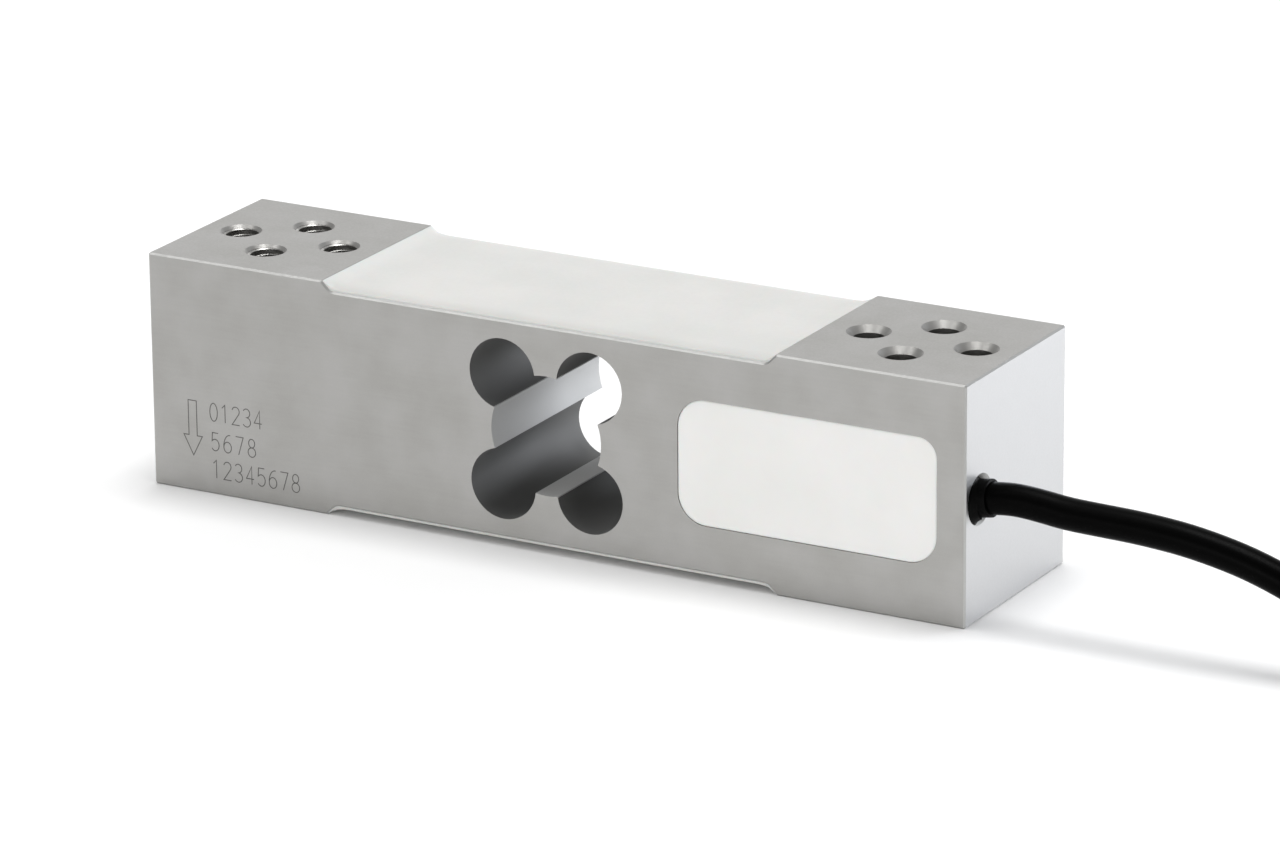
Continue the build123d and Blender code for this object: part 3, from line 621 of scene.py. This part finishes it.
tieShape = {
    "bundle": (5.25, 13.2),  # half the bundle's width and height
    "bundleMiddle": 14.5,
    "turnRadius": 18.25,
    "gap": 0.25,
    "thick": 1.0,
    "wide": 4.0,
    "cornerRadius": 2.6,
    "edgeRadius": 0.3,  # of the strap's own edges
    "head": (2.5, 2.8, 1.0),  # half sizes of the locking head
    "headSquareness": 0.28,  # power of its rounding: 1 makes it a ball, 0 a sharp block
}


# A rounded block: each half size times the signed power of cosine and sine, which squares a ball up
def roundedBlock(centre, axes, halfSizes, power, steps=24):
    def raised(t):
        return np.sign(t) * np.abs(t) ** power

    tilt = np.radians(np.linspace(-88, 88, steps))[:, None]
    turn = np.linspace(0, 2 * np.pi, 2 * steps, endpoint=False)[None]
    local = [raised(np.cos(tilt)) * raised(np.cos(turn)), raised(np.cos(tilt)) * raised(np.sin(turn)),
             raised(np.sin(tilt)) * np.ones_like(turn)]
    return centre + sum(h * part[..., None] * axis for h, part, axis in zip(halfSizes, local, axes))


grow = tieShape["gap"] + tieShape["thick"] / 2
halfWide, halfHigh = (h + grow for h in tieShape["bundle"])
strapLoop = roundedRectangle(halfWide, halfHigh, tieShape["cornerRadius"] + grow, steps=10)
following = np.roll(strapLoop, -1, axis=0) - np.roll(strapLoop, 1, axis=0)
following /= np.linalg.norm(following, axis=1)[:, None]
strapProfile = roundedRectangle(tieShape["wide"] / 2, tieShape["thick"] / 2, tieShape["edgeRadius"], steps=4)
headUp = tieShape["bundle"][1] + tieShape["gap"] + tieShape["thick"] + tieShape["head"][2]
up = np.array([0.0, 0.0, 1.0])
for number, (foldCentre, outSign) in enumerate(zip(foldX, (-1.0, 1.0)), 1):
    out = np.array([outSign, 0.0, 0.0])
    sideways = np.array([0.0, outSign, 0.0])
    centre = np.array([foldCentre, middleY, tieShape["bundleMiddle"]]) + tieShape["turnRadius"] * out
    path = centre + strapLoop[:, :1] * out + strapLoop[:, 1:] * up
    outward = following[:, 1:] * out - following[:, :1] * up
    strap = carryProfile(path, np.tile(sideways, (len(path), 1)), outward, strapProfile)
    band = surfacePiece(f"hankTieStrap{number}", [strap], wrapRows=True, caps=False)
    axes = (out, sideways, up)
    block = roundedBlock(centre + up * headUp, axes, tieShape["head"], tieShape["headSquareness"])
    head = surfacePiece(f"hankTieHead{number}", [block])
    dress(band, finishes["mouldedNylon"], "tie_nylon", f"hank_tie_{number}")
    dress(head, finishes["mouldedNylon"], "tie_nylon")
    tailPieces += [band, head]
print("hank ties made")


# Silicone over the gauges and in the pocket

coatShape = {
    "landEdge": 41.7,  # where the recess ends, from the middle of the block
    "halfLength": 41.62,
    "recessFloor": 38.3,
    "landHeight": 40.0,
    "slopeRun": 1.7,
    "thickness": 0.8,
    "rampRun": 3.7,  # over which the silicone thins out towards the land
    "halfWidth": 17.2,
    "edgeHeight": 0.28,
    "edgeRun": 2.6,
    "feather": 0.04,
    "blockMiddle": 20.0,
    "rampPower": 1.6,  # how hollow the ramp is
    "swell": (0.02, 0.012),  # height of the long waves and of the short ones
    "crowding": 1.35,  # spreads the cross sections, closest at the ends
}


# Poured silicone, as a closed loop across the block carried along it. The floor climbs the slope of
# the recess. The surface is the floor plus the thickness, raised to the land over the ramp by a power
# of the way along it, and towards the sides it falls like a quarter ellipse to the edge height. Low
# sine waves, about 30 and 15 mm long, keep it from being dead flat. side is 1 for the top and -1 for
# the underside.
def siliconeCoat(name, shape, side):
    ease = np.sin(np.linspace(-np.pi / 2, np.pi / 2, 121))
    x = shape["halfLength"] * np.sign(ease) * (1 - (1 - np.abs(ease)) ** shape["crowding"])
    fromLand = shape["landEdge"] - np.abs(x)
    slope = np.clip(1 - fromLand / shape["slopeRun"], 0, 1)
    floorHeight = shape["recessFloor"] + slope * (shape["landHeight"] - shape["recessFloor"])
    poured = shape["recessFloor"] + shape["thickness"]
    ramp = 1 - np.clip(fromLand / shape["rampRun"], 0, 1)
    crown = poured + (shape["landHeight"] - poured) * ramp ** shape["rampPower"]
    crown = np.maximum(crown, floorHeight + shape["feather"])
    half, run = shape["halfWidth"], shape["edgeRun"]
    rounding = half - run * (1 - np.cos(np.linspace(np.pi / 2, 0, 12)))
    y = np.concatenate([-rounding[::-1], np.linspace(-half + run, half - run, 41)[1:-1], rounding])
    inside = np.clip((half - np.abs(y)) / run, 0, 1)
    fall = np.sqrt(1 - (1 - inside) ** 2)
    thick = (crown - floorHeight)[:, None]
    low = shape["edgeHeight"] / shape["thickness"]
    longWaves = np.sin(0.21 * x)[:, None] * np.cos(0.19 * y + 0.6)
    shortWaves = np.sin(0.43 * x[:, None] + 0.3 * y)
    swell = shape["swell"][0] * longWaves + shape["swell"][1] * shortWaves
    surface = floorHeight[:, None] + thick * (low + (1 - low) * fall) + swell * fall * np.clip(thick, 0, 1)
    under = np.broadcast_to(floorHeight[:, None], surface.shape)
    height = np.concatenate([surface, under[:, ::-1]], axis=1)
    lengthways = np.broadcast_to(x[:, None], height.shape)
    crossways = np.broadcast_to(np.concatenate([y, y[::-1]]), height.shape)
    middle = shape["blockMiddle"]
    grid = np.stack([lengthways, crossways, middle + side * (height - middle)], axis=-1)
    return surfacePiece(name, [grid], smooth=50)


for name, side, node in (("gaugeCoatTop", 1, "top_coat"), ("gaugeCoatUnder", -1, "bottom_coat")):
    dress(siliconeCoat(name, coatShape, side), finishes["coatSiliconeShadedCopy"], "white_silicone", node)

pottingShape = {
    "centre": (47.0, 20.0),
    "half": (23.0, 10.5),
    "corners": (3.4, 5.0, 5.0, 5.0),  # upper right, upper left, lower left, lower right
    "frontFace": -17.5,
    "rings": [(2.6, 0.06), (1.4, 0.055), (0.7, 0.06), (0.3, 0.08), (0.12, 0.12), (0.02, 0.2), (0.0, 0.5),
              (0.0, 6.0)],
}


# Potting level with the side of the block: rounded rectangles, each drawn in by a ring's first number
# and set back by its second, so that the rim dips into a hair-fine groove
def pocketPotting(shape):
    halfLong, halfHigh = shape["half"]
    outlines = []
    for drawnIn, setBack in shape["rings"]:
        corners = np.array(shape["corners"]) - drawnIn
        outline = roundedRectangle(halfLong - drawnIn, halfHigh - drawnIn, corners, steps=14) + shape["centre"]
        depth = np.full(len(outline), shape["frontFace"] + setBack)
        outlines.append(np.stack([outline[:, 0], depth, outline[:, 1]], axis=1))
    return surfacePiece("pocketPottingFill", [np.stack(outlines)], smooth=60)


dress(pocketPotting(pottingShape), finishes["pottingSilicone"], "white_silicone", "pocket_potting")
print("silicone poured")


# Cable entry

entryShape = {
    "axis": (-12.5, 20.0),  # y and z of the bore
    "sleeveStart": 70.0,
    "bendStart": 72.2,
    "bendEnd": 74.2,
    "exit": (77.25, 20.55),
    "sleeveRadius": 3.05,
    "boreInSleeve": 2.6,
    "lip": 0.12,
    "mouthFlare": 0.03,  # how much wider the sleeve's inside is at its very end
    "flareDepth": 1.2,
    "ripple": 0.02,  # height of the waves that the shrinking leaves
    "boreRadius": 3.25,
    "mouthRadius": 4.2,
    "endFace": 75.0,
}
sealShape = {
    "back": 70.4,  # x of its inner end
    "fullest": 0.1,  # radians past the pocket side
    "least": 0.12,  # its share of the fullest place on the far side
    "waviness": 0.06,
    "ofChamfer": 0.96,  # how much of the chamfer it covers where it is fullest
    "climb": (0.15, 0.95),  # how far it climbs the sleeve everywhere, and how much more at its fullest
    "hollow": 1.8,  # power of the dish between the wall and the sleeve
    "underSkin": 0.05,  # how deep it goes into the sleeve
}


# Rings square to the sleeve's line, which is straight, then eases into a slight climb:
# ring = place on the line + radius * (cos, sin) of the angle
def ringsAlongSleeve(x, radius, turn, shape):
    (axisY, axisZ), (exitX, exitZ) = shape["axis"], shape["exit"]
    bendStart, bendEnd = shape["bendStart"], shape["bendEnd"]
    rise = (exitZ - axisZ) / (exitX - (bendStart + bendEnd) / 2)
    span = bendEnd - bendStart
    t = np.clip((x - bendStart) / span, 0, 1)
    climb = rise * (span * t ** 2 / 2 + np.clip(x - bendEnd, 0, None))
    slope = rise * t
    long = np.sqrt(1 + slope ** 2)
    z = climb[:, None] + radius * np.sin(turn) / long[:, None]
    shifted = x[:, None] - radius * np.sin(turn) * (slope / long)[:, None]
    y = radius * np.cos(turn) + np.zeros_like(z)
    return np.stack([shifted, axisY + y, axisZ + z], axis=-1)


# Sleeve: its outside from the pocket to the exit, a rounded lip, and back along the cable, with a
# ripple of sine waves round and along it
turn = np.linspace(0, 2 * np.pi, 72, endpoint=False)[None]
outer, inner, lip = entryShape["sleeveRadius"], entryShape["boreInSleeve"], entryShape["lip"]
sleeveStart, sleeveEnd = entryShape["sleeveStart"], entryShape["exit"][0]
lipTurn = np.radians(np.linspace(0, 90, 5))[1:]
outerX = np.linspace(sleeveStart, sleeveEnd - lip, 24)
insideX = [sleeveEnd, sleeveEnd - entryShape["flareDepth"], sleeveStart]
insideR = [inner + entryShape["mouthFlare"], inner, inner]
sleeveX = np.concatenate([outerX, sleeveEnd - lip + lip * np.sin(lipTurn), insideX])
sleeveR = np.concatenate([np.full_like(outerX, outer), outer - lip + lip * np.cos(lipTurn), insideR])
ripple = entryShape["ripple"] * np.sin(3 * turn + 1.0) * np.sin(2.1 * sleeveX[:, None])
sleeveRings = ringsAlongSleeve(sleeveX, sleeveR[:, None] + ripple, turn, entryShape)
sleeve = surfacePiece("shrinkSleeve", [sleeveRings], wrapRows=True, caps=False, smooth=50)
dress(sleeve, finishes["shrunkPolyolefin"], "shrink_sleeve", "cable_sleeve")

# Sealant: closed rings from the bore over the chamfer to the sleeve. Towards the pocket side of the
# mouth it fills the whole chamfer and climbs the sleeve, and elsewhere it stays low in the bore.
boreRadius = entryShape["boreRadius"]
chamfer = entryShape["mouthRadius"] - boreRadius
fullest = np.pi + sealShape["fullest"]  # half a turn looks towards the pocket side
waves = 1 + sealShape["waviness"] * np.sin(5 * turn)
fill = smoothStep(0.5 + 0.75 * np.cos(turn - fullest)) * waves
fill = np.clip(sealShape["least"] + (1 - sealShape["least"]) * fill, 0, 1)
covered = sealShape["ofChamfer"] * chamfer * fill
wallRadius = boreRadius + covered
wallX = entryShape["endFace"] - chamfer + covered
steps = np.linspace(0, 1, 9)[:, None]
skinRadius = outer - sealShape["underSkin"]
ringRadius = wallRadius + (skinRadius - wallRadius) * steps
climbed = sealShape["climb"][0] + sealShape["climb"][1] * fill
ringX = wallX + climbed * steps ** sealShape["hollow"]
backX = np.full_like(wallX, sealShape["back"])
sealX = np.concatenate([backX, ringX, backX])
sealR = np.concatenate([np.full_like(wallX, boreRadius), ringRadius, np.full_like(wallX, skinRadius)])
axisY, axisZ = entryShape["axis"]
sealRings = np.stack([sealX, axisY + sealR * np.cos(turn), axisZ + sealR * np.sin(turn)], axis=-1)
sealant = surfacePiece("entrySeal", [sealRings], wrapRows=True, caps=False, smooth=50)
dress(sealant, finishes["smearedSealant"], "black_sealant", "entry_sealant")
print("cable entry sealed")


# Threads

threadShape = {
    "pitch": 1.0,
    "major": 3.02,
    "crest": 2.6,  # the drilled radius that the tap leaves standing
    "crestHalf": 0.2,
    "rootHalf": 0.44,
    "depth": 19.2,
    "start": 0.45,  # below the face, inside the countersink
    "stepsPerTurn": 30,
    "fade": (0.05, 1.4),  # how far along its rise from 0 to 1 the ridge starts, and what a turn adds
}


# A ridge like a cut-off triangle carried along a helix: the angle and the depth grow together, one
# pitch a turn. The ridge fades in over its first turn and out over its last.
def threadRidge(centreX, centreY, face, down, shape):
    def faded(turnsFromEnd):
        return smoothStep(shape["fade"][0] + shape["fade"][1] * turnsFromEnd)

    turns = (shape["depth"] - shape["start"]) / shape["pitch"]
    angle = np.linspace(0, turns * 2 * np.pi, int(turns * shape["stepsPerTurn"]))
    wound = angle / (2 * np.pi)
    rise = faded(wound) * faded(turns - wound)
    crest = shape["major"] - (shape["major"] - shape["crest"]) * rise
    root = np.full_like(crest, shape["major"])
    radii = np.stack([root, crest, crest, root], axis=1)
    offset = np.array([-shape["rootHalf"], -shape["crestHalf"], shape["crestHalf"], shape["rootHalf"]])
    depth = shape["start"] + wound[:, None] * shape["pitch"] + offset[None] * rise[:, None]
    x = centreX + radii * np.cos(angle)[:, None]
    y = centreY - down * radii * np.sin(angle)[:, None]
    return np.stack([x, y, face + down * depth], axis=-1)


diamond = [(-9.5, 0.0), (9.5, 0.0), (0.0, -7.5), (0.0, 7.5)]
threadSets = {"loadThreads": (-58.5, 40.0, -1), "fixedThreads": (58.5, 0.0, 1)}
for name, (middleX, face, down) in threadSets.items():
    ridges = [threadRidge(middleX + x, y, face, down, threadShape) for x, y in diamond]
    dress(surfacePiece(name, ridges, smooth=30), finishes["tapped"], "machined_aluminium")
print("threads cut")


# Laser marks

markShape = {
    "face": -17.5,
    "proud": 0.008,
    "sunk": 0.02,
    "stroke": 0.17,
    "longestMitre": 2.5,  # how many times wider than straight a sharp corner may get
    "digitHeight": 3.1,
    "digitWidth": 1.45,
    # text, left end and baseline of each row, and the step from one digit to the next
    "rows": [("01234", -63.8, 12.7, 2.15), ("5678", -63.6, 7.6, 2.35), ("12345678", -63.6, 2.85, 2.2)],
    "arrow": {"middle": -67.2, "top": 15.7, "shaftHalf": 0.8, "headTop": 9.65, "headHalf": 1.8, "tip": 6.2},
}


# an arc of an ellipse as points: centre + radii * (cos, sin) of the angle
def arc(x, y, radiusX, radiusY, start, end, steps=22):
    angle = np.radians(np.linspace(start, end, steps))
    return np.stack([x + radiusX * np.cos(angle), y + radiusY * np.sin(angle)], axis=1)


# single-line digits in a cell one wide and two high
digitStrokes = {
    "0": [arc(0.5, 1.0, 0.5, 1.0, 0, 360, 40)],
    "1": [[(0.15, 1.62), (0.55, 2.0), (0.55, 0.0)]],
    "2": [np.concatenate([arc(0.5, 1.5, 0.48, 0.5, 165, -38), [(0.0, 0.0), (1.0, 0.0)]])],
    "3": [np.concatenate([arc(0.45, 1.52, 0.45, 0.48, 150, -90), arc(0.45, 0.52, 0.52, 0.52, 78, -150)])],
    "4": [[(0.72, 0.0), (0.72, 2.0), (0.0, 0.6), (1.0, 0.6)]],
    "5": [np.concatenate([[(0.9, 2.0), (0.12, 2.0), (0.06, 1.08)], arc(0.46, 0.64, 0.52, 0.64, 130, -145)])],
    "6": [arc(0.5, 0.6, 0.5, 0.6, 0, 360, 34), arc(0.8, 0.66, 0.8, 1.32, 84, 176)],
    "7": [[(0.0, 2.0), (1.0, 2.0), (0.35, 0.0)]],
    "8": [arc(0.5, 1.52, 0.4, 0.48, 0, 360, 30), arc(0.5, 0.52, 0.5, 0.52, 0, 360, 34)],
}


# A flat bar carried along a stroke on the side of the block, mitred at its corners:
# the offset at each point is across the mean of its two directions
def markedStroke(points, shape):
    points = np.asarray(points, float)
    steps = np.diff(points, axis=0)
    steps /= np.linalg.norm(steps, axis=1)[:, None]
    before, after = np.vstack([steps[:1], steps]), np.vstack([steps, steps[-1:]])
    mean = before + after
    mean /= np.linalg.norm(mean, axis=1)[:, None]
    widen = 1 / np.clip((mean * after).sum(axis=1), 1 / shape["longestMitre"], 1)
    offset = np.stack([-mean[:, 1], mean[:, 0]], axis=1) * (shape["stroke"] / 2 * widen)[:, None]
    front, back = shape["face"] - shape["proud"], shape["face"] + shape["sunk"]
    left, right = points + offset, points - offset
    corners = [(left, front), (right, front), (right, back), (left, back)]
    return np.stack([np.column_stack([p[:, 0], np.full(len(p), y), p[:, 1]]) for p, y in corners], axis=1)


strokes = []
cell = np.array([markShape["digitWidth"], markShape["digitHeight"] / 2])
for text, left, base, step in markShape["rows"]:
    for place, digit in enumerate(text):
        strokes += [np.asarray(s) * cell + (left + place * step, base) for s in digitStrokes[digit]]
arrow = markShape["arrow"]
rightHalf = [(arrow["shaftHalf"], arrow["top"]), (arrow["shaftHalf"], arrow["headTop"]),
             (arrow["headHalf"], arrow["headTop"]), (0.0, arrow["tip"])]
leftHalf = [(-x, z) for x, z in rightHalf[-2::-1]]
topMiddle = (0.0, arrow["top"])
strokes.append([(arrow["middle"] + x, z) for x, z in [topMiddle, *rightHalf, *leftHalf, topMiddle]])
marks = surfacePiece("laserMarks", [markedStroke(s, markShape) for s in strokes], smooth=20)
dress(marks, finishes["laserMarkedOxide"], "machined_aluminium")
print("marks drawn:", len(strokes), "strokes")


# Finishes of the CAD nodes that stay

boardStart = 29.5  # x of the terminal board's near end
# each chip's middle, from there, and how far from it the caps start
chipRows = {"zero_balance_resistor": (9.5, 0.6), "zero_temperature_resistor": (9.5, 0.6),
            "span_temperature_resistors": (16.5, 1.2), "input_trim_resistor": (16.5, 0.6)}
blockShading = {"weldMm": 0.002, "edgeDegrees": 24}
nodeFinishes = {
    "spring_element": "aluminium", "terminal_board": "board", "board_copper": "bareCopper",
    "solder_beads": "brightSolder", "red_core": "redInsulation", "black_core": "blackInsulation",
    "screen_core": "tinnedStrand", "green_core": "greenInsulation", "white_core": "whiteInsulation",
    "cable_jacket_end": "jacket", "cable_crimp": "nickelPlate",
}
for side in ("top", "bottom"):
    for end in ("load", "fixed"):
        nodeFinishes[f"{side}_{end}_gauge_carrier"] = "amberPolyimide"
        nodeFinishes[f"{side}_{end}_gauge_grid"] = "etchedConstantan"
    nodeFinishes[f"{side}_terminal_strip"] = "amberPolyimide"
    nodeFinishes[f"{side}_gauge_jumpers"] = "tinnedStrand"
    nodeFinishes[f"{side}_bridge_leads"] = "wireEnamel"
for name, (x, capStart) in chipRows.items():
    finishes[name] = chipFinish(f"glazedChip_{name}", boardStart + x, capStart)
    nodeFinishes[name] = name
for name, finish in nodeFinishes.items():
    nodes[name].data.materials.clear()
    nodes[name].data.materials.append(finishes[finish])

# the bores are facets in the solids: welded and split at real edges, they shade as round
springElement = nodes["spring_element"]
springElement.data.shade_smooth()
weld = springElement.modifiers.new("weld", "WELD")
weld.merge_threshold = blockShading["weldMm"] * mm
split = springElement.modifiers.new("edges", "EDGE_SPLIT")
split.split_angle = np.radians(blockShading["edgeDegrees"])
print("CAD nodes dressed:", len(nodeFinishes))


print("scene built")
